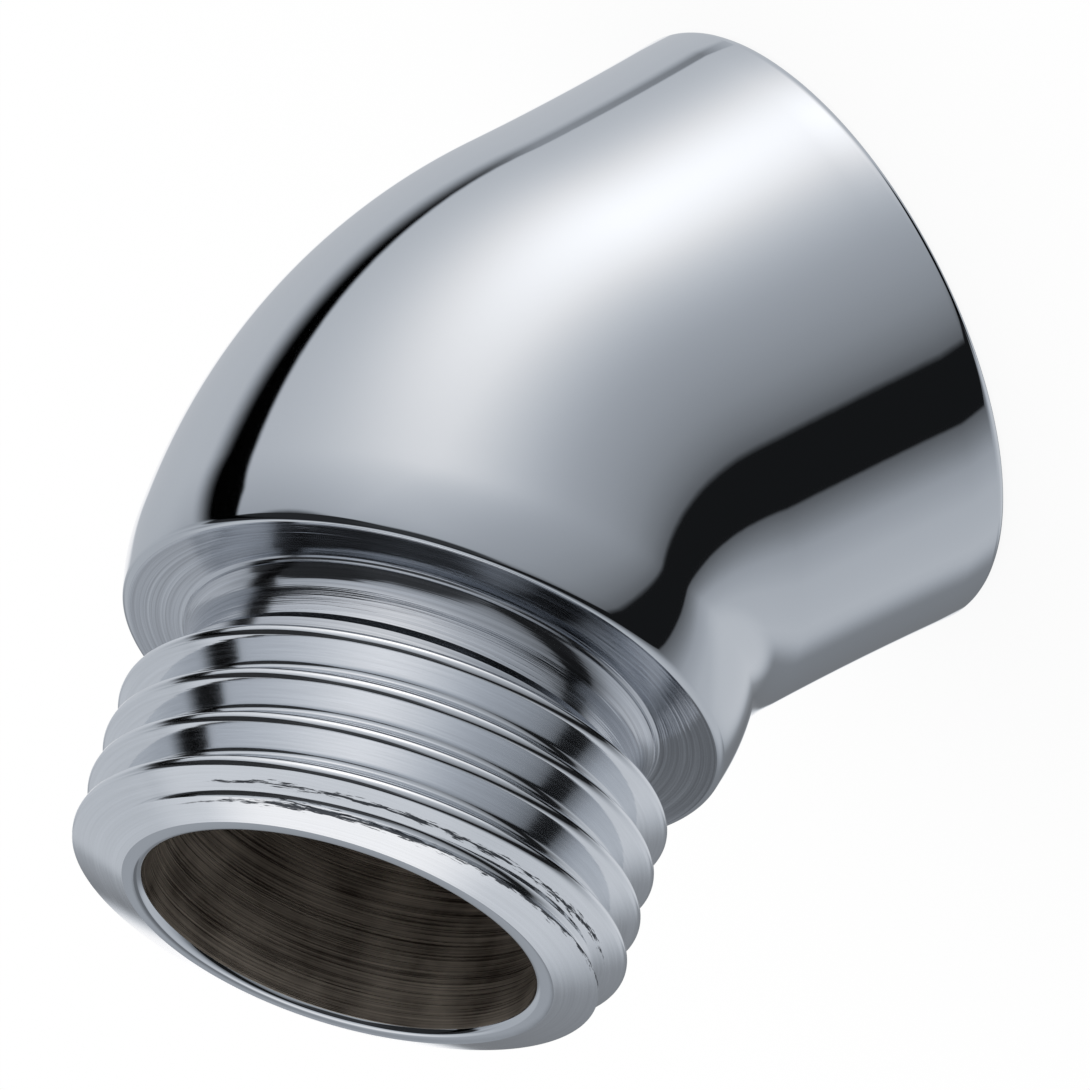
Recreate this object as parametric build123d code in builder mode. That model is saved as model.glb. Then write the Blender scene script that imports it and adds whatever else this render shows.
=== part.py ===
"""Wall outlet elbow: a one-piece chromed brass elbow with a G 1/2 thread at each end.

The elbow stands on the flat rim of its socket. The origin is the centre of the socket's mouth and +Z is up along
the socket's axis. The threaded spigot leans from +Z towards +X by the bend angle. Millimetres.
"""

import os
from math import cos, radians, sin, tan

from build123d import *

# G 1/2 pipe thread, Whitworth form: 14 turns to the inch, flanks 55 degrees apart.
thread_pitch = 25.4 / 14
thread_major_diameter = 20.955
thread_depth = 0.640327 * thread_pitch
thread_minor_diameter = thread_major_diameter - 2 * thread_depth
flank_half_angle = 27.5
root_flat = 0.30

# Spigot: the threaded male end. Its lengths are measured back from the open end.
spigot_length = 10.6
relief_width = 2.1
relief_diameter = 17.5
relief_corner_height = 1.1
relief_corner_width = 0.4
run_out_width = 0.95
run_out_diameter = 18.5
land_diameter = 16.5
end_chamfer_angle = 22.0
lip_radius = 0.3
first_groove = 1.07
groove_overrun = 1.0
groove_clearance = 0.2

# Waterway: the bore through the whole elbow.
waterway_diameter = 15.0

# Body: the polished outside, from the shoulder round the bend to the rim of the socket.
bend_angle = 40.0
bend_radius = 16.0
bend_diameter = 24.5
neck_length = 2.8
neck_diameter = 23.6
shoulder_edge = 0.18
barrel_length = 9.5
rim_diameter = 25.1
rim_radius = 0.5

# Socket: the threaded female end, with a flat seat for a washer at its bottom.
socket_depth = 9.0
mouth_diameter = 21.4

# Groove between the thread's ridges: one helical cutter that runs out into the relief and past the open end.
major_radius = thread_major_diameter / 2
groove_start = relief_width / 2 - spigot_length
with BuildPart() as groove:
    with BuildLine() as groove_path:
        Helix(
            pitch=thread_pitch,
            height=groove_overrun - groove_start,
            radius=major_radius,
            center=(0, 0, groove_start),
        )
    groove_plane = Plane(origin=groove_path.line @ 0, x_dir=(1, 0, 0), z_dir=groove_path.line % 0)
    with BuildSketch(groove_plane) as groove_profile:
        with BuildLine():
            groove_half_width = root_flat / 2 + (thread_depth + groove_clearance) * tan(radians(flank_half_angle))
            Polyline(
                (-thread_depth, -root_flat / 2),
                (groove_clearance, -groove_half_width),
                (groove_clearance, groove_half_width),
                (-thread_depth, root_flat / 2),
                close=True,
            )
        make_face()
    sweep(path=groove_path.line, is_frenet=True)

# Spigot, in its own frame: the origin is the centre of the open end and z points out of it.
stub_length = neck_length / 2
with BuildPart() as spigot:
    # Thread: a bar of the major diameter, grooved and chamfered at the open end.
    thread_end = relief_width + run_out_width - spigot_length
    with BuildSketch():
        Circle(major_radius)
    extrude(amount=thread_end)
    add(groove.part, mode=Mode.SUBTRACT)
    with BuildSketch(Plane.XZ):
        with BuildLine():
            chamfer_width = major_radius - land_diameter / 2 + groove_clearance
            chamfer_height = chamfer_width * tan(radians(end_chamfer_angle))
            Polyline(
                (land_diameter / 2, 0),
                (land_diameter / 2 + chamfer_width, -chamfer_height),
                (land_diameter / 2 + chamfer_width, groove_clearance),
                (land_diameter / 2, groove_clearance),
                close=True,
            )
        make_face()
    revolve(axis=Axis.Z, mode=Mode.SUBTRACT)

    # Relief: behind the last ridge the bar is turned down below the thread, then by a slope to a narrower neck with
    # a hollow corner at the shoulder. A stub goes on into the body.
    with BuildSketch(Plane.XZ):
        with BuildLine():
            relief_radius = relief_diameter / 2
            run_out_radius = run_out_diameter / 2
            slope_end = relief_width - spigot_length
            slope_start = slope_end + run_out_radius - relief_radius
            corner_start = (relief_radius, relief_corner_height - spigot_length)
            corner_end = (relief_radius + relief_corner_width, -spigot_length)
            Polyline(
                (0, thread_end),
                (run_out_radius, thread_end),
                (run_out_radius, slope_start),
                (relief_radius, slope_end),
                corner_start,
            )
            TangentArc(corner_start, corner_end, tangent=(0, -1))
            Polyline(
                corner_end,
                (corner_end[0], -spigot_length - stub_length),
                (0, -spigot_length - stub_length),
                (0, thread_end),
            )
        make_face()
    revolve(axis=Axis.Z)

    # Bore, with a rounded lip at the open end.
    with BuildSketch():
        Circle(waterway_diameter / 2)
    extrude(amount=-spigot_length - stub_length, mode=Mode.SUBTRACT)
    lip_edge = spigot.edges().filter_by(GeomType.CIRCLE).group_by(Axis.Z)[-1].sort_by(SortBy.RADIUS)[0]
    fillet(lip_edge, lip_radius)

# Frames: the neck starts where the bend ends, and the spigot is turned so that its first groove starts where the
# phase says.
turn = radians(bend_angle)
spigot_axis = Vector(sin(turn), 0, cos(turn))
across = Vector(cos(turn), 0, -sin(turn))
bend_centre = Vector(bend_radius, 0, barrel_length)
bend_exit = Vector(bend_radius * (1 - cos(turn)), 0, barrel_length + bend_radius * sin(turn))
end_centre = bend_exit + spigot_axis * (neck_length + spigot_length)
neck_plane = Plane(origin=bend_exit, x_dir=across, z_dir=spigot_axis)
neck_section = Plane(origin=bend_exit, x_dir=across, z_dir=(0, -1, 0))
barrel_top = Plane.XY.offset(barrel_length)
bend_axis = Axis(bend_centre, (0, 1, 0))
groove_turn = 360 * (groove_start + first_groove) / thread_pitch
end_plane = Plane(origin=end_centre, x_dir=across, z_dir=spigot_axis)
spigot_place = end_plane.location * Location((0, 0, 0), (0, 0, groove_turn))

with BuildPart() as elbow_body:
    # Barrel: the socket's outside, which swells a little from the bend to its rim.
    with BuildSketch(Plane.XZ) as barrel_profile:
        with BuildLine():
            swell = TangentArc((bend_diameter / 2, barrel_length), (rim_diameter / 2, 0), tangent=(0, -1))
            Polyline(swell @ 1, (0, 0), (0, barrel_length), swell @ 0)
        make_face()
        fillet(barrel_profile.vertices().group_by(Axis.Y)[0].sort_by(Axis.X)[-1], rim_radius)
    revolve(axis=Axis.Z)

    # Bend: a round bar turned through the bend angle.
    with BuildSketch(barrel_top):
        Circle(bend_diameter / 2)
    revolve(axis=bend_axis, revolution_arc=bend_angle)

    # Neck: narrows from the bend to the shoulder, whose edge is broken by a small chamfer.
    with BuildSketch(neck_section):
        with BuildLine():
            taper = TangentArc(
                (bend_diameter / 2, 0), (neck_diameter / 2, neck_length - shoulder_edge), tangent=(0, 1)
            )
            Polyline(
                taper @ 1,
                (neck_diameter / 2 - shoulder_edge, neck_length),
                (0, neck_length),
                (0, 0),
                taper @ 0,
            )
        make_face()
    revolve(axis=Axis(bend_exit, spigot_axis))

    # Spigot: set in the neck's end.
    add(spigot_place * spigot.part)

    # Waterway: through the neck, round the bend and down to the socket's seat.
    with BuildSketch(neck_plane):
        Circle(waterway_diameter / 2)
    extrude(amount=neck_length, mode=Mode.SUBTRACT)
    with BuildSketch(barrel_top):
        Circle(waterway_diameter / 2)
    revolve(axis=bend_axis, revolution_arc=bend_angle, mode=Mode.SUBTRACT)
    with BuildSketch(barrel_top):
        Circle(waterway_diameter / 2)
    extrude(amount=socket_depth - barrel_length, mode=Mode.SUBTRACT)

    # Socket: bored to the thread's minor diameter, with a countersunk mouth.
    with BuildSketch(Plane.XZ):
        with BuildLine():
            mouth_depth = (mouth_diameter - thread_minor_diameter) / 2
            Polyline(
                (0, 0),
                (mouth_diameter / 2, 0),
                (thread_minor_diameter / 2, mouth_depth),
                (thread_minor_diameter / 2, socket_depth),
                (0, socket_depth),
                close=True,
            )
        make_face()
    revolve(axis=Axis.Z, mode=Mode.SUBTRACT)

elbow_body.part.label = "elbow_body"
os.makedirs("parts", exist_ok=True)
export_step(elbow_body.part, "parts/elbow_body.step")
print("volume", round(elbow_body.part.volume, 1), "solids", len(elbow_body.part.solids()))
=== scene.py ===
from math import atan2, cos, hypot, pi, radians, sin, sqrt, tan

import bmesh
import bpy
from mathutils import Matrix, Vector


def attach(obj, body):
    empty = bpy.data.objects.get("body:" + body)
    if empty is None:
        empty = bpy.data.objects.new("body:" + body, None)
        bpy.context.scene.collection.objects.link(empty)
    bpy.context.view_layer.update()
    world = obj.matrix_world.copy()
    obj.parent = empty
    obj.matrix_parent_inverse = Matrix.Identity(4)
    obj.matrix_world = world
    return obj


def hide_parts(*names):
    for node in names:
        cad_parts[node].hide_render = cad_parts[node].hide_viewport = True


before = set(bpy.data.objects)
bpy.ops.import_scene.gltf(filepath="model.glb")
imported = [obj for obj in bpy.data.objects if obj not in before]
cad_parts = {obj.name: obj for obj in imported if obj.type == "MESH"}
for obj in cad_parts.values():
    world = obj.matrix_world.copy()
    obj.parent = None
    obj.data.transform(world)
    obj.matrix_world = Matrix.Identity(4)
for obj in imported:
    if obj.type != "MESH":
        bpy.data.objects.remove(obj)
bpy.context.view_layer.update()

bpy.ops.object.select_all(action="DESELECT")

# Socket end: the elbow is one hollow brass forging, turned at both ends, polished and chromed. Its skin is drawn as
# one closed row of rings. It starts with the flat rim, its rounded edge and the barrel, which narrows a little
# towards the bend.
mm = 0.001
round_segments = 256
socket_mouth_radius = 10.7 * mm
rim_radius = 12.55 * mm
rim_round = 0.5 * mm
barrel_length = 9.5 * mm
body_radius = 12.25 * mm
up = Vector((0, 0, 1))


def ring_to(centre, radius):
    """Gives the selected ring a new radius about its centre."""
    ring = [v.co for v in bmesh.from_edit_mesh(bpy.context.object.data).verts if v.select]
    now = max((place - centre).length for place in ring)
    bpy.ops.transform.resize(value=(radius / now,) * 3, center_override=centre)


def follow(at, profile, axis=up):
    """Extrudes the selected ring through a profile of (distance along the axis, radius) places."""
    for (was, _), (to, radius) in zip(profile, profile[1:]):
        bpy.ops.mesh.extrude_region_move(TRANSFORM_OT_translate={"value": axis * (to - was)})
        ring_to(at + axis * to, radius)


def arc(centre_along, centre_radius, size, start, end, steps):
    """Places on a round corner, from one angle to another, in degrees from the axis."""
    turns = [radians(start + (end - start) * i / steps) for i in range(steps + 1)]
    return [(centre_along + size * cos(t), centre_radius + size * sin(t)) for t in turns]


def swell(start, end, small, large, steps):
    """Places on a shallow arc that leaves its smaller end parallel to the axis."""
    run = abs(end - start)
    size = (run * run + (large - small) ** 2) / (2 * (large - small))
    ways = [run * i / steps for i in range(steps + 1)]
    return [(start + (end - start) * w / run, small + size - sqrt(size * size - w * w)) for w in ways]


bpy.ops.mesh.primitive_circle_add(vertices=round_segments, radius=socket_mouth_radius, location=(0, 0, 0))
elbow = bpy.context.object
elbow.name = "chromed_elbow"
elbow.data.name = "chromed_elbow"
bpy.ops.object.mode_set(mode="EDIT")
bpy.ops.mesh.select_all(action="SELECT")
rim = [(0.0, socket_mouth_radius)] + arc(rim_round, rim_radius - rim_round, rim_round, 180, 90, 6)
follow(Vector(), rim)
barrel = swell(barrel_length, rim_round, body_radius, rim_radius, 8)[::-1]
follow(Vector(), [(rim_round, rim_radius)] + barrel[1:])

# Bend and neck: the same forging, spun round the bend's centre. Polishing has thinned it a little towards the neck,
# which narrows to the shoulder, and has rounded the shoulder's edge over.
bend_radius = 16.0 * mm
bend_angle = radians(40.0)
bend_steps = 32
waist_radius = 12.1 * mm
neck_length = 2.8 * mm
shoulder_radius = 11.38 * mm
shoulder_round = 0.36 * mm
shoulder_slope = 16
bend_pivot = Vector((bend_radius, 0, barrel_length))
for step in range(1, bend_steps + 1):
    bpy.ops.mesh.spin(steps=1, angle=-bend_angle / bend_steps, center=bend_pivot, axis=(0, 1, 0))
    share = step / bend_steps
    turn = bend_angle * share
    centre = bend_pivot + Vector((-bend_radius * cos(turn), 0, bend_radius * sin(turn)))
    thinned = share**2 * (3 - 2 * share)
    ring_to(centre, body_radius + (waist_radius - body_radius) * thinned)
neck_start = bend_pivot + Vector((-bend_radius * cos(bend_angle), 0, bend_radius * sin(bend_angle)))
spigot_axis = Vector((sin(bend_angle), 0, cos(bend_angle)))
rounding = [radians(shoulder_slope + (90 - shoulder_slope) * i / 8) for i in range(9)]
round_start = neck_length - shoulder_round
edge = [(round_start + shoulder_round * sin(t), shoulder_radius + shoulder_round * cos(t)) for t in rounding]
taper = swell(0.0, edge[0][0], 0.0, waist_radius - edge[0][1], 8)
neck = [(along, waist_radius - drop) for along, drop in taper] + edge[1:]
follow(neck_start, neck, spigot_axis)

# Spigot: turned from the forging before its thread is cut. From the shoulder it has a flat face with a low step, the
# relief groove with a hollow corner, the turned-down run-out, the bar that takes the thread, the end's chamfer and
# land, and the bore's rounded lip. Its lengths are measured back from the open end.
spigot_length = 10.6 * mm
step_radius = 9.12 * mm
step_height = 0.2 * mm
step_flare = 0.25 * mm
hollow_radius = 1.28 * mm
hollow_height = 0.9 * mm
hollow_start = 225.3
relief_radius = 8.75 * mm
relief_start = -8.5 * mm
run_out_radius = 9.25 * mm
thread_end = -7.55 * mm
corner = 0.02 * mm
thread_major_radius = 20.955 / 2 * mm
chamfer_angle = radians(22.0)
land_radius = 8.25 * mm
waterway_radius = 7.5 * mm
lip_round = 0.3 * mm
open_end = neck_start + spigot_axis * (neck_length + spigot_length)
shoulder = -spigot_length
hollow_end = shoulder + step_height + hollow_height
chamfer_length = (thread_major_radius - land_radius) * tan(chamfer_angle)
turned = [(shoulder, shoulder_radius)]
turned += arc(shoulder + step_height, step_radius + step_flare, step_height, 180, 270, 4)
turned += arc(hollow_end, relief_radius + hollow_radius, hollow_radius, hollow_start, 270, 8)
turned += [(relief_start, relief_radius), (relief_start + run_out_radius - relief_radius, run_out_radius)]
turned += [(thread_end - corner, run_out_radius), (thread_end, run_out_radius + corner)]
turned += [(thread_end, thread_major_radius), (-chamfer_length, thread_major_radius), (0.0, land_radius)]
turned += arc(-lip_round, waterway_radius + lip_round, lip_round, 0, -90, 6)
follow(open_end, turned, spigot_axis)

# Waterway and socket: bored from both ends. The bore runs straight through the spigot and round the bend to the
# washer's flat seat, and the socket is bored to the thread's minor diameter, with a countersunk mouth.
socket_depth = 9.0 * mm
thread_pitch = 25.4 / 14 * mm
thread_depth = 0.640327 * thread_pitch
thread_minor_radius = thread_major_radius - thread_depth
follow(open_end, [(-lip_round, waterway_radius), (shoulder - neck_length, waterway_radius)], spigot_axis)
bpy.ops.mesh.spin(steps=20, angle=bend_angle, center=bend_pivot, axis=(0, 1, 0))
mouth_depth = socket_mouth_radius - thread_minor_radius
seat = [(barrel_length, waterway_radius), (socket_depth, waterway_radius), (socket_depth, thread_minor_radius)]
follow(Vector(), seat + [(mouth_depth, thread_minor_radius), (0.0, socket_mouth_radius)])
bpy.ops.mesh.select_all(action="SELECT")
bpy.ops.mesh.remove_doubles(threshold=0.002 * mm)
bpy.ops.mesh.normals_make_consistent(inside=False)
bpy.ops.object.mode_set(mode="OBJECT")

# Threads: G 1/2 pipe threads in the brass, Whitworth form, 14 turns to the inch, right-handed. The spigot's is chased
# with a die and the socket's is tapped. Each is cut by one helix whose section is the groove, with its rounded bottom
# and rounded brows.
thread_round = 0.137329 * thread_pitch
half_angle = radians(27.5)
crest_flat = 0.03 * mm
cut_clearance = 0.05 * mm
first_groove = 1.07 * mm
thread_steps = 216


def groove_section(bottom, outward):
    """Places of (radius, height) round the groove, which opens away from bottom, outward or inward."""
    side = 1 if outward else -1
    turns = [half_angle + (pi / 2 - half_angle) * i / 5 for i in range(6)]
    root = [(thread_round * (1 - sin(t)), thread_round * cos(t)) for t in turns[::-1]]
    brow = [(thread_depth - d, thread_pitch / 2 - h) for d, h in root[::-1]]
    brow[-1] = (thread_depth, thread_pitch / 2 - crest_flat / 2)
    lift = (thread_depth + cut_clearance, thread_pitch / 2 - crest_flat / 2)
    upper = root + brow + [lift]
    return [(bottom + side * d, h) for d, h in upper] + [(bottom + side * d, -h) for d, h in reversed(upper[1:])]


def thread_cutter(name, bottom, outward, start, turns, phase):
    """A groove section swept along the helix, from a start height, with its middle on phase at angle 0."""
    section = groove_section(bottom, outward)
    first_turn = 2 * pi * (start - phase) / thread_pitch
    bpy.ops.mesh.primitive_circle_add(vertices=len(section), fill_type="NGON", radius=mm)
    cutter = bpy.context.object
    cutter.name = name
    for vertex, (radius, height) in zip(cutter.data.vertices, section):
        vertex.co = (radius * cos(first_turn), radius * sin(first_turn), start + height)
    screw = cutter.modifiers.new("helix", "SCREW")
    screw.angle = 2 * pi
    screw.screw_offset = thread_pitch
    screw.iterations = turns
    screw.steps = thread_steps
    screw.render_steps = thread_steps
    bpy.ops.object.modifier_apply(modifier="helix")
    bpy.ops.object.mode_set(mode="EDIT")
    bpy.ops.mesh.select_all(action="SELECT")
    bpy.ops.mesh.remove_doubles(threshold=0.0005 * mm)
    bpy.ops.mesh.select_all(action="DESELECT")
    bpy.ops.mesh.select_non_manifold()
    bpy.ops.mesh.edge_face_add()
    bpy.ops.mesh.select_all(action="SELECT")
    bpy.ops.mesh.normals_make_consistent(inside=False)
    bpy.ops.object.mode_set(mode="OBJECT")
    return cutter


def cut(piece, tool):
    """Takes the tool's shape out of the piece, and the tool away."""
    bpy.ops.object.select_all(action="DESELECT")
    bpy.context.view_layer.objects.active = piece
    piece.select_set(True)
    taken = piece.modifiers.new("cut", "BOOLEAN")
    taken.operation = "DIFFERENCE"
    taken.solver = "EXACT"
    taken.object = tool
    bpy.ops.object.modifier_apply(modifier="cut")
    bpy.data.objects.remove(tool)


# The die starts beyond the open end and stops in the relief, and the tap stops short of the seat.
die = thread_cutter("spigot_groove", thread_minor_radius, True, -9.5 * mm, 6, -first_groove)
die.rotation_euler = (0, bend_angle, 0)
die.location = open_end
bpy.ops.object.transform_apply(location=True, rotation=True, scale=True)
cut(elbow, die)
tap = thread_cutter("socket_groove", thread_major_radius, False, -2.0 * mm, 5, 0.0)
cut(elbow, tap)

bpy.ops.object.select_all(action="DESELECT")
elbow.select_set(True)
bpy.context.view_layer.objects.active = elbow
bpy.ops.object.shade_smooth_by_angle(angle=radians(22))
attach(elbow, "root")
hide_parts("elbow_body")


def linear(code):
    """A hex sRGB colour as linear RGBA."""
    parts = [int(code[i : i + 2], 16) / 255 for i in (1, 3, 5)]
    return tuple(c / 12.92 if c < 0.04045 else ((c + 0.055) / 1.055) ** 2.4 for c in parts) + (1.0,)


def add(tree, kind, inputs={}, out=0, **settings):
    """Adds a node, sets it, sets or links its inputs, and gives one of its outputs."""
    node = tree.nodes.new(kind)
    for name, value in settings.items():
        setattr(node, name, value)
    for name, value in inputs.items():
        if isinstance(value, bpy.types.NodeSocket):
            tree.links.new(value, node.inputs[name])
        else:
            node.inputs[name].default_value = value
    return node.outputs[out]


def metal(name):
    """A new metal material, and its shader."""
    made = bpy.data.materials.new(name)
    made.use_nodes = True
    shader = made.node_tree.nodes["Principled BSDF"]
    shader.inputs["Metallic"].default_value = 1.0
    return made, shader


# Polished chrome plate, over the outside of the forging and on the end's land and lip. It was buffed before it was
# plated, so it mirrors the room, with a faint haze from the buffing, in patches of about 3 mm, and a ripple of about
# 0.6 mm that is too shallow to bend an edge.
polished, shader = metal("polished_chrome_plate")
shader.inputs["Base Color"].default_value = linear("#C9CDD2")
tree = polished.node_tree
place = add(tree, "ShaderNodeTexCoord", out="Object")
haze = add(tree, "ShaderNodeTexNoise", {"Vector": place, "Scale": 1 / (3.0 * mm), "Detail": 3.0})
buffed = add(tree, "ShaderNodeMapRange", {"Value": haze, "To Min": 0.03, "To Max": 0.055})
tree.links.new(buffed, shader.inputs["Roughness"])
ripple = add(tree, "ShaderNodeTexNoise", {"Vector": place, "Scale": 1 / (0.6 * mm), "Detail": 1.0})
dent = add(tree, "ShaderNodeBump", {"Height": ripple, "Strength": 1.0, "Distance": 0.0006 * mm})
tree.links.new(dent, shader.inputs["Normal"])


def lathe_place(tree, turn, end):
    """Place in a turned end's own frame: its radius and its distance along the axis, in mm, and its direction."""
    origin = Matrix.Rotation(-turn, 3, "Y") @ end / -mm
    place = add(tree, "ShaderNodeTexCoord", out="Object")
    own = {"Vector": place, "Location": origin, "Rotation": (0, -turn, 0), "Scale": (1 / mm,) * 3}
    own = add(tree, "ShaderNodeMapping", own)
    across = add(tree, "ShaderNodeVectorMath", {0: own, 1: (1, 1, 0)}, operation="MULTIPLY")
    radius = add(tree, "ShaderNodeVectorMath", {0: across}, out="Value", operation="LENGTH")
    facing = add(tree, "ShaderNodeVectorMath", {0: across}, operation="NORMALIZE")
    along = add(tree, "ShaderNodeSeparateXYZ", {"Vector": own}, out="Z")
    return radius, along, facing


def way_round(tree, turn, facing):
    """The direction that the tool's marks run in: round the end's axis."""
    across = add(tree, "ShaderNodeVectorMath", {0: (0, 0, 1), 1: facing}, operation="CROSS_PRODUCT")
    return add(tree, "ShaderNodeMapping", {"Vector": across, "Rotation": (0, turn, 0)}, vector_type="VECTOR")


def tool_lines(tree, radius, along, facing, spacing, length, detail=2.0):
    """Noise drawn out round the axis into lines as the tool leaves them: spacing across, length round, in mm."""
    up_axis = add(tree, "ShaderNodeCombineXYZ", {"Z": along})
    fine = add(tree, "ShaderNodeVectorMath", {0: up_axis, 1: (0, 0, 1 / spacing)}, operation="MULTIPLY")
    mean_radius = 10.0
    slow = {0: facing, 1: (mean_radius / length,) * 3}
    slow = add(tree, "ShaderNodeVectorMath", slow, operation="MULTIPLY")
    where = add(tree, "ShaderNodeVectorMath", {0: fine, 1: slow}, operation="ADD")
    depth = add(tree, "ShaderNodeMath", {0: radius, 1: 1 / spacing}, operation="MULTIPLY")
    lines = {"Vector": where, "W": depth, "Scale": 1.0, "Detail": detail, "Roughness": 0.6}
    return add(tree, "ShaderNodeTexNoise", lines, noise_dimensions="4D")


def turned_metal(name, turn, end, gap, fine_depth, broad_depth, smooth, dull, drawn):
    """Metal with the lines of a turning tool, gap apart in mm, and broad ones 0.3 mm apart."""
    made, shader = metal(name)
    tree = made.node_tree
    spot = lathe_place(tree, turn, end)
    fine = tool_lines(tree, *spot, gap, 12.0)
    broad = tool_lines(tree, *spot, 0.3, 14.0, 1.0)
    shader.inputs["Anisotropic"].default_value = drawn
    tree.links.new(way_round(tree, turn, spot[2]), shader.inputs["Tangent"])
    gloss = {"Value": fine, "From Min": 0.3, "From Max": 0.7, "To Min": smooth, "To Max": dull}
    gloss = add(tree, "ShaderNodeMapRange", gloss)
    tree.links.new(gloss, shader.inputs["Roughness"])
    wave = add(tree, "ShaderNodeBump", {"Height": broad, "Strength": 1.0, "Distance": broad_depth})
    score = {"Height": fine, "Strength": 1.0, "Distance": fine_depth, "Normal": wave}
    tree.links.new(add(tree, "ShaderNodeBump", score), shader.inputs["Normal"])
    return made, shader, spot, fine, gloss


def painted_shade_in_lines(tree, shader, colour, fine, shaded_share):
    """A colour with painted shade in the tool's lines, down to a share of itself, on the shader."""
    shade = {"Value": fine, "From Min": 0.3, "From Max": 0.7, "To Min": shaded_share, "To Max": 1.0}
    shade = add(tree, "ShaderNodeMapRange", shade)
    tone = add(tree, "ShaderNodeVectorMath", {0: linear(colour)[:3], 1: shade}, operation="MULTIPLY")
    tree.links.new(tone, shader.inputs["Base Color"])
    return tone


# Turned chrome, on the shoulder's face and in the relief groove. The plate is thin over the lines of the facing tool,
# so it glints round the axis in streaks, and the lines carry painted shade, down to 0.68 of the colour. The lines are
# drawn 0.11 mm apart, coarser than they are, so that they show.
faced, shader, _, fine, _ = turned_metal(
    "turned_chrome", bend_angle, open_end, 0.11, 0.01 * mm, 0.0045 * mm, smooth=0.07, dull=0.16, drawn=0.6
)
painted_shade_in_lines(faced.node_tree, shader, "#D0D4DA", fine, 0.68)

# Chased chrome, on the spigot's thread and chamfer. It is the same plate over finer marks that run round the grooves,
# with its colour painted brighter to stand in for the light that the grooves' flanks reflect onto each other, and
# faint painted shade in the lines, so it is nearly even.
chased, shader, spot, fine, gloss = turned_metal(
    "chased_chrome", bend_angle, open_end, 0.1, 0.0016 * mm, 0.0008 * mm, smooth=0.06, dull=0.12, drawn=0.6
)
tree = chased.node_tree
brightened_chase_colour = painted_shade_in_lines(tree, shader, "#E3E6EA", fine, 0.92)

# Burr, on the chased chrome: the die tears the metal where the first groove runs out through the chamfer, and scores
# the first ridge's flank. The torn metal is rougher, and its torn shape is drawn only as short chips of painted
# shade.
# The chips start from the groove's edge and from the score, on one side of the spigot only.
groove_point_radius = 9.026
score_radius = 9.78
score_end = -1.9
score_weakness = 0.03
out_of_reach = 9.0
chip_reach = 0.3
torn_side = (0.25, 0.97, 0)
radius, along, facing = spot
pitch = thread_pitch / mm
ways = add(tree, "ShaderNodeSeparateXYZ", {"Vector": facing}).node.outputs
angle = add(tree, "ShaderNodeMath", {0: ways["Y"], 1: ways["X"]}, operation="ARCTAN2")
# How far the place is from the nearest groove's middle, along the axis.
lead = add(tree, "ShaderNodeMath", {0: angle, 1: -pitch / (2 * pi), 2: along}, operation="MULTIPLY_ADD")
lead = add(tree, "ShaderNodeMath", {0: lead, 1: first_groove / mm}, operation="ADD")
lead = add(tree, "ShaderNodeMath", {0: lead, 1: pitch / 2, 2: -pitch / 2}, operation="WRAP")
beyond = add(tree, "ShaderNodeMath", {0: lead, 1: 0.0}, operation="GREATER_THAN")
lead = add(tree, "ShaderNodeMath", {0: lead}, operation="ABSOLUTE")
# How far it is from the groove's flank and from the chamfer's cone. On the groove's edge it is on both.
flank = {0: radius, 1: -tan(half_angle), 2: groove_point_radius * tan(half_angle)}
flank = add(tree, "ShaderNodeMath", flank, operation="MULTIPLY_ADD")
flank = add(tree, "ShaderNodeMath", {0: lead, 1: flank}, operation="ADD")
flank = add(tree, "ShaderNodeMath", {0: flank}, operation="ABSOLUTE")
cone = {0: radius, 1: tan(chamfer_angle), 2: -land_radius / mm * tan(chamfer_angle)}
cone = add(tree, "ShaderNodeMath", cone, operation="MULTIPLY_ADD")
cone = add(tree, "ShaderNodeMath", {0: along, 1: cone}, operation="ADD")
cone = add(tree, "ShaderNodeMath", {0: cone}, operation="ABSOLUTE")
away = add(tree, "ShaderNodeMath", {0: flank, 1: cone}, operation="MAXIMUM")
# How far it is from the score, which is only on the first turn, on the flank that faces the open end.
scored = add(tree, "ShaderNodeMath", {0: radius, 1: score_radius}, operation="SUBTRACT")
scored = add(tree, "ShaderNodeMath", {0: scored}, operation="ABSOLUTE")
second_turn = add(tree, "ShaderNodeMath", {0: along, 1: score_end}, operation="LESS_THAN")
elsewhere = add(tree, "ShaderNodeMath", {0: beyond, 1: second_turn}, operation="ADD")
scored = add(tree, "ShaderNodeMath", {0: elsewhere, 1: out_of_reach, 2: scored}, operation="MULTIPLY_ADD")
scored = add(tree, "ShaderNodeMath", {0: scored, 1: score_weakness}, operation="ADD")
away = add(tree, "ShaderNodeMath", {0: away, 1: scored}, operation="MINIMUM")
# The chips are about 0.07 mm apart and 0.7 mm long.
chips = tool_lines(tree, radius, along, facing, 0.07, 0.7, 3.0)
reach = {"Value": chips, "From Min": 0.35, "From Max": 0.75, "To Min": 0.0, "To Max": chip_reach}
reach = add(tree, "ShaderNodeMapRange", reach)
middle = add(tree, "ShaderNodeVectorMath", {0: facing, 1: torn_side}, out="Value", operation="DOT_PRODUCT")
span = add(tree, "ShaderNodeMapRange", {"Value": middle, "From Min": 0.35, "From Max": 0.8})
reach = add(tree, "ShaderNodeMath", {0: reach, 1: span}, operation="MULTIPLY")
inside = add(tree, "ShaderNodeMath", {0: reach, 1: away}, operation="SUBTRACT")
torn_and_shaded = add(tree, "ShaderNodeMapRange", {"Value": inside, "From Min": 0.0, "From Max": 0.05})
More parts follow.
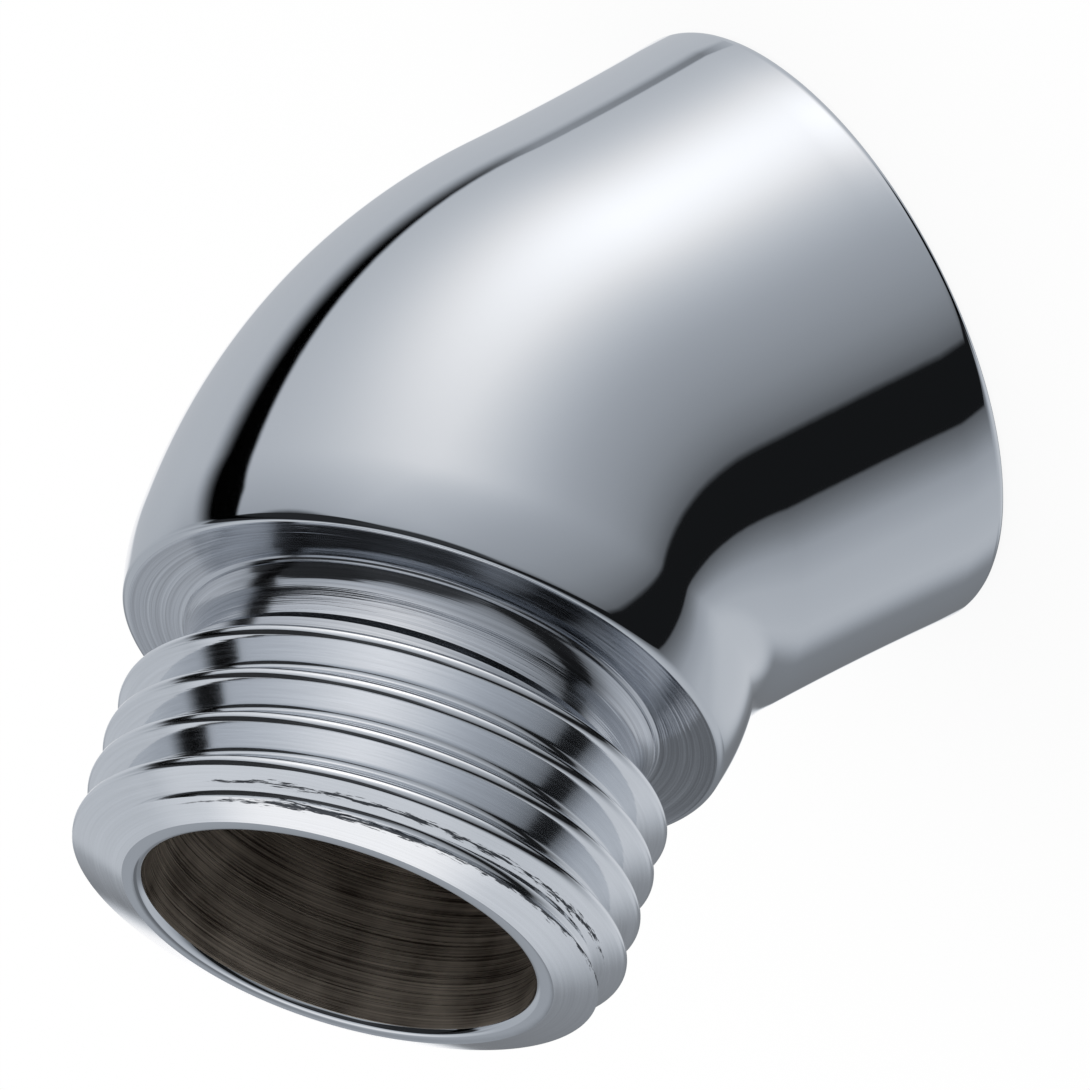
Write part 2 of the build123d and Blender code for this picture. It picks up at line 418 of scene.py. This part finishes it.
# The chips' dark grey is painted shade, and their roughness is the torn metal's own.
burr_shade_colour = add(tree, "ShaderNodeMix", {0: torn_and_shaded, 6: brightened_chase_colour, 7: linear("#4C4F54")}, out=2, data_type="RGBA")
tree.links.new(burr_shade_colour, shader.inputs["Base Color"])
rough = add(tree, "ShaderNodeMix", {0: torn_and_shaded, 2: gloss, 3: 0.45})
tree.links.new(rough, shader.inputs["Roughness"])

# Tapped brass, in the socket. The plate hardly reaches in there, so it is thin, duller and a little yellow. Its tool
# lines carry painted shade, down to 0.8 of the colour.
tapped, shader, _, fine, _ = turned_metal(
    "tapped_brass_thin_plate", 0.0, Vector(), 0.1, 0.003 * mm, 0.003 * mm, smooth=0.2, dull=0.35, drawn=0.5
)
painted_shade_in_lines(tapped.node_tree, shader, "#A79F92", fine, 0.8)

# Bored brass, in the waterway. It takes hardly any plate and is tarnished, so it is dull and brown, with stains of
# about 2.5 mm and the boring tool's lines.
bored, shader, _, fine, _ = turned_metal(
    "bored_brass_stained", bend_angle, open_end, 0.06, 0.004 * mm, 0.002 * mm, smooth=0.22, dull=0.38, drawn=0.7
)
shader.inputs["Metallic"].default_value = 0.82
tree = bored.node_tree
place = add(tree, "ShaderNodeTexCoord", out="Object")
stain = add(tree, "ShaderNodeTexNoise", {"Vector": place, "Scale": 1 / (2.5 * mm), "Detail": 4.0})
stain = add(tree, "ShaderNodeMath", {0: stain, 1: 0.6, 2: -0.3}, operation="MULTIPLY_ADD")
stain = add(tree, "ShaderNodeMath", {0: stain, 1: fine}, operation="ADD")
brown = add(tree, "ShaderNodeValToRGB", {"Fac": stain})
for stop, where, colour in zip(brown.node.color_ramp.elements, (0.3, 0.8), ("#4A423B", "#E4DACE")):
    stop.position = where
    stop.color = linear(colour)
tree.links.new(brown, shader.inputs["Base Color"])


def off_centre(point):
    """A point's distance from the waterway's centre line."""
    arm = point - bend_pivot
    swing = atan2(arm.z, -arm.x)
    if swing <= 0:
        return hypot(point.x, point.y)
    if swing < bend_angle:
        return hypot(hypot(arm.x, arm.z) - bend_radius, arm.y)
    out = point - neck_start
    return (out - spigot_axis * out.dot(spigot_axis)).length


# Each face of the elbow takes its finish by where it lies: how far from the waterway's centre line, and how far along
# the spigot or up the socket.
hair = 0.01 * mm
socket_reach = 10.8 * mm
turned_reach = 12.0 * mm
lip_reach = 0.35 * mm
finishes = [polished, faced, chased, bored, tapped]
elbow.data.materials.clear()
for finish in finishes:
    elbow.data.materials.append(finish)
for face in elbow.data.polygons:
    spread = off_centre(face.center)
    along = (face.center - open_end).dot(spigot_axis)
    rise = face.center.z
    in_socket = rise < socket_depth + hair and along < shoulder - neck_length and spread < socket_reach
    on_shoulder = along < shoulder + hair and face.normal.dot(spigot_axis) >= 0.9
    if in_socket and (rise > hair or face.normal.z > -0.9):
        finish = tapped
    elif spread < waterway_radius + 2 * hair:
        finish = bored
    elif along < shoulder - hair or (along < shoulder + hair and not on_shoulder):
        finish = polished
    elif along < thread_end + hair and spread < turned_reach:
        finish = faced
    elif along > -lip_reach and spread < land_radius + 5 * hair:
        finish = polished
    else:
        finish = chased
    face.material_index = finishes.index(finish)

# Floor: a plain white card that the elbow stands on, rim down. To the camera it is nearly as white as the backdrop,
# so the shadow is faint, and the metal doesn't mirror it.
bpy.ops.mesh.primitive_plane_add(size=6, location=(0, 0, 0))
floor = bpy.context.object
floor.name = "floor"
card = bpy.data.materials.new("white_card")
card.use_nodes = True
tree = card.node_tree
matt = tree.nodes["Principled BSDF"]
matt.inputs["Base Color"].default_value = linear("#FFFFFF")
matt.inputs["Roughness"].default_value = 1.0
matt.inputs["Specular IOR Level"].default_value = 0.0
seen = add(tree, "ShaderNodeLightPath", out="Is Camera Ray")
seen = add(tree, "ShaderNodeMath", {0: seen, 1: 0.9}, operation="MULTIPLY")
white = add(tree, "ShaderNodeEmission", {"Color": linear("#FFFFFF"), "Strength": 1.0})
washed = add(tree, "ShaderNodeMixShader", {0: seen, 1: matt.outputs[0], 2: white})
tree.links.new(washed, tree.nodes["Material Output"].inputs["Surface"])
floor.data.materials.append(card)
floor.visible_glossy = False

# Light tent: the room is a white cloth tent that lights the elbow evenly. The plate mirrors its lamps, its black
# flags and the folds of its cloth, and every other ray sees plain white. Each is placed by its bearing from +X and
# its height, in degrees.
room = bpy.data.worlds.new("light_tent")
room.use_nodes = True
tree = room.node_tree
aim = add(tree, "ShaderNodeTexCoord", out="Generated")
aims = add(tree, "ShaderNodeSeparateXYZ", {"Vector": aim}).node.outputs
bearing = add(tree, "ShaderNodeMath", {0: aims["Y"], 1: aims["X"]}, operation="ARCTAN2")
bearing = add(tree, "ShaderNodeMath", {0: bearing, 1: 180 / pi}, operation="MULTIPLY")
bearing = add(tree, "ShaderNodeMath", {0: bearing, 1: 360.0}, operation="FLOORED_MODULO")
height = add(tree, "ShaderNodeMath", {0: aims["Z"]}, operation="ARCSINE")
height = add(tree, "ShaderNodeMath", {0: height, 1: 180 / pi}, operation="MULTIPLY")

# The cloth's folds, each by its bearing and level. The first black flag hangs from 18 to 43 degrees.
folds = [
    (0, 0.50), (9, 0.30), (17, 0.16), (18, 0.012), (43, 0.012), (44.5, 0.17), (52, 0.27), (63, 0.38), (75, 0.46),
    (90, 0.54), (105, 0.64), (125, 0.74), (185, 0.70), (215, 0.68), (239, 0.60), (270, 0.38), (300, 0.54),
    (322, 0.70), (345, 0.65), (360, 0.50),
]
way = add(tree, "ShaderNodeMath", {0: bearing, 1: 360.0}, operation="DIVIDE")
cloth = add(tree, "ShaderNodeValToRGB", {"Fac": way})
ramp = cloth.node.color_ramp
for where, shade in folds[1:-1]:
    ramp.elements.new(where / 360)
for stop, (where, shade) in zip(ramp.elements, folds):
    stop.position = where / 360
    stop.color = (shade,) * 3 + (1.0,)

# The lamp behind the cloth, by the bearing and height of its middle and how far its light spreads each way.
lamp_strength = 0.92
spread = 0.0
for way, middle, size in ((bearing, 142.0, 28.0), (height, -30.0, 29.0)):
    off = add(tree, "ShaderNodeMath", {0: way, 1: middle}, operation="SUBTRACT")
    off = add(tree, "ShaderNodeMath", {0: off, 1: size}, operation="DIVIDE")
    spread = add(tree, "ShaderNodeMath", {0: off, 1: off, 2: spread}, operation="MULTIPLY_ADD")
fall = add(tree, "ShaderNodeMath", {0: spread, 1: -1.0}, operation="MULTIPLY")
lamp = add(tree, "ShaderNodeMath", {0: fall}, operation="EXPONENT")
level = add(tree, "ShaderNodeMath", {0: lamp, 1: lamp_strength, 2: cloth}, operation="MULTIPLY_ADD")


def stretch(left, right, bottom, top):
    """A share that is 1 over a stretch of the tent. Each edge is the degrees where it is 0 and where it is 1."""
    share = 1.0
    for way, (none, full) in ((bearing, left), (bearing, right), (height, bottom), (height, top)):
        edge = {"Value": way, "From Min": none, "From Max": full}
        edge = add(tree, "ShaderNodeMapRange", edge, interpolation_type="SMOOTHSTEP")
        share = add(tree, "ShaderNodeMath", {0: edge, 1: share}, operation="MULTIPLY")
    return share


def round_patch(bearing_of, height_of, full, none):
    """A share that is 1 within full degrees of a place on the tent and 0 beyond none degrees."""
    b = radians(bearing_of)
    h = radians(height_of)
    centre = (cos(h) * cos(b), cos(h) * sin(b), sin(h))
    near = add(tree, "ShaderNodeVectorMath", {0: aim, 1: centre}, out="Value", operation="DOT_PRODUCT")
    edge = {"Value": near, "From Min": cos(radians(none)), "From Max": cos(radians(full))}
    return add(tree, "ShaderNodeMapRange", edge, interpolation_type="SMOOTHSTEP")


# The cloth is a little darker above the lamp, and dimmer low down on the side away from the camera.
above = stretch((80.0, 110.0), (235.0, 205.0), (8.0, 50.0), (91.0, 90.0))
behind = stretch((246.0, 256.0), (318.0, 300.0), (-44.0, -34.0), (16.0, 0.0))
for share, loss in ((above, 0.32), (behind, 0.45)):
    share = add(tree, "ShaderNodeMath", {0: share, 1: loss}, operation="MULTIPLY")
    level = add(tree, "ShaderNodeMix", {0: share, 2: level, 3: 0.0})
# Bright cloth low down, two grey panels, the lamp overhead, the tent's dark mouth and the two parts of its black
# roof.
for share, shade in (
    (round_patch(300.0, -58.0, 12.0, 24.0), 0.76),
    (round_patch(268.0, 36.0, 18.0, 24.0), 0.6),
    (round_patch(325.0, 52.0, 22.0, 34.0), 0.74),
    (round_patch(321.0, 45.0, 8.0, 21.0), 1.12),
    (round_patch(299.0, 13.0, 8.5, 10.5), 0.2),
    (round_patch(130.0, 72.0, 32.0, 37.0), 0.03),
    (round_patch(68.0, 45.0, 14.0, 30.0), 0.05),
):
    level = add(tree, "ShaderNodeMix", {0: share, 2: level, 3: shade})

# The second black flag: a wedge whose left edge leans up to a height of 28 degrees, open at its right and below.
lean = add(tree, "ShaderNodeMath", {0: height, 1: 28.0}, operation="MINIMUM")
left = add(tree, "ShaderNodeMath", {0: lean, 1: 0.33, 2: bearing}, operation="MULTIPLY_ADD")
clear = 0.0
for way, none, full in ((left, 189.0, 186.5), (bearing, 193.0, 205.0), (height, -16.0, -32.0)):
    side = {"Value": way, "From Min": none, "From Max": full}
    side = add(tree, "ShaderNodeMapRange", side, interpolation_type="SMOOTHSTEP")
    clear = add(tree, "ShaderNodeMath", {0: side, 1: clear}, operation="MAXIMUM")
level = add(tree, "ShaderNodeMath", {0: level, 1: clear}, operation="MULTIPLY")

# The white backdrop behind the elbow, and the dark stand under it.
backdrop = stretch((239.0, 242.0), (268.0, 263.0), (-30.0, -24.0), (2.0, -8.0))
level = add(tree, "ShaderNodeMix", {0: backdrop, 2: level, 3: 1.05})
stand = {"Value": height, "From Min": -78.0, "From Max": -68.0}
stand = add(tree, "ShaderNodeMapRange", stand, interpolation_type="SMOOTHSTEP")
level = add(tree, "ShaderNodeMath", {0: level, 1: stand}, operation="MULTIPLY")

# The tent's shadows are bluer than its lamps: red and blue are shares of the level, from its shadows to its lamps.
tint = {"Y": level}
for channel, in_shadow, in_lamp in (("X", 0.95, 1.02), ("Z", 1.07, 0.99)):
    share = {"Value": level, "From Min": 0.4, "From Max": 1.3, "To Min": in_shadow, "To Max": in_lamp}
    share = add(tree, "ShaderNodeMapRange", share, interpolation_type="SMOOTHSTEP")
    tint[channel] = add(tree, "ShaderNodeMath", {0: level, 1: share}, operation="MULTIPLY")
mirrored = add(tree, "ShaderNodeBackground", {"Color": add(tree, "ShaderNodeCombineXYZ", tint), "Strength": 1.0})
plain = tree.nodes["Background"]
plain.inputs["Color"].default_value = linear("#FFFFFF")
plain.inputs["Strength"].default_value = 1.0
ray = add(tree, "ShaderNodeLightPath", out="Is Glossy Ray")
both = add(tree, "ShaderNodeMixShader", {0: ray, 1: plain.outputs[0], 2: mirrored})
tree.links.new(both, tree.nodes["World Output"].inputs["Surface"])
bpy.context.scene.world = room

# Camera: above and in front of the open end, held turned on its side, with a long lens.
focal_pixels = 6369.1
picture_pixels = 1090
sensor_width = 36
eye = bpy.data.cameras.new("camera")
camera = bpy.data.objects.new("camera", eye)
bpy.context.collection.objects.link(camera)
right = Vector((0.53970537, 0.21049945, -0.81511232))
down = Vector((0.80537423, -0.4110352, 0.42710937))
ahead = Vector((-0.24513356, -0.88698368, -0.39136874))
stood = Matrix.Translation(Vector((62.0169, 213.9041, 108.8347)) * mm)
camera.matrix_world = stood @ Matrix((right, -down, -ahead)).transposed().to_4x4()
eye.lens = focal_pixels / picture_pixels * sensor_width
eye.clip_start = 0.01
eye.clip_end = 20
bpy.context.scene.camera = camera
bpy.context.scene.view_settings.view_transform = "Standard"
